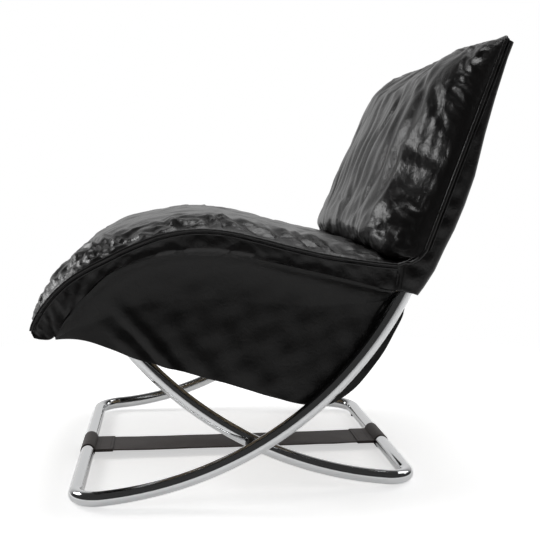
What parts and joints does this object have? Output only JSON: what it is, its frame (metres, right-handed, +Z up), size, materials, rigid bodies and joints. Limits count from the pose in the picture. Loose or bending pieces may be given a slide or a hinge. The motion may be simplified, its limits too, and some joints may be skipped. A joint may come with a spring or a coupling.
{
  "type": "lounge chair",
  "caption": "Armless lounge chair in black leather on two crossed loops of chromed tube tied by a floor strap, with deep side panels under a rolled seat; it folds a little and the seat tilts.",
  "frame": {"origin": "on the floor, midway side to side and front to back", "axes": "+Z up, +X to the left of a person seated in the chair, -Y the way that person faces"},
  "size_m": [0.694, 0.7796, 0.7636],
  "materials": {
    "chromed_tube": "polished",
    "inner_steel": "satin",
    "black_leather": "semi-gloss",
    "strap_leather": "matt",
    "canvas": "matt",
    "black_plastic": "matt",
    "white_plastic": "matt"
  },
  "bodies": {
    "front_frame": {"front_frame_tube": "chromed_tube", "back_frame_tube": "chromed_tube", "front_spigots": "inner_steel", "seat_rail": "chromed_tube", "pivot_inserts": "inner_steel", "pivot_spacers": "black_plastic", "pivot_bolts": "chromed_tube", "front_glides": "black_plastic", "front_strap_sleeve": "strap_leather", "base_strap": "strap_leather", "back_webbing": "canvas", "back_pillow": "black_leather", "back_side_band": "black_leather", "back_rear_cover": "black_leather", "back_welt": "black_leather"},
    "rear_frame": {"rear_frame_tube": "chromed_tube", "seat_front_bar": "chromed_tube", "rear_spigots": "inner_steel", "pivot_bushes": "white_plastic", "rear_glides": "black_plastic", "rear_strap_sleeve": "strap_leather"},
    "seat": {"seat_deck": "canvas", "seat_cushion": "black_leather", "seat_band_left": "black_leather", "seat_band_right": "black_leather", "seat_welt_left": "black_leather", "seat_welt_right": "black_leather", "side_panel_left": "black_leather", "side_panel_right": "black_leather", "hem_rod_left": "inner_steel", "hem_rod_right": "inner_steel"}
  },
  "joints": [
    {"name": "frame_fold", "type": "hinge", "parent": "front_frame", "child": "rear_frame", "pos_m": [0, -0.03244, 0.09155], "axis": [-1, 0, 0], "range_deg": [0, 10], "deforming": ["base_strap"]},
    {"name": "seat_tilt", "type": "hinge", "parent": "front_frame", "child": "seat", "pos_m": [0, 0.22047, 0.35488], "axis": [-1, 0, 0], "range_deg": [0, 5.3]}
  ],
  "couplings": [
    {"joint": "seat_tilt", "follows": "frame_fold", "ratio": 0.53}
  ]
}
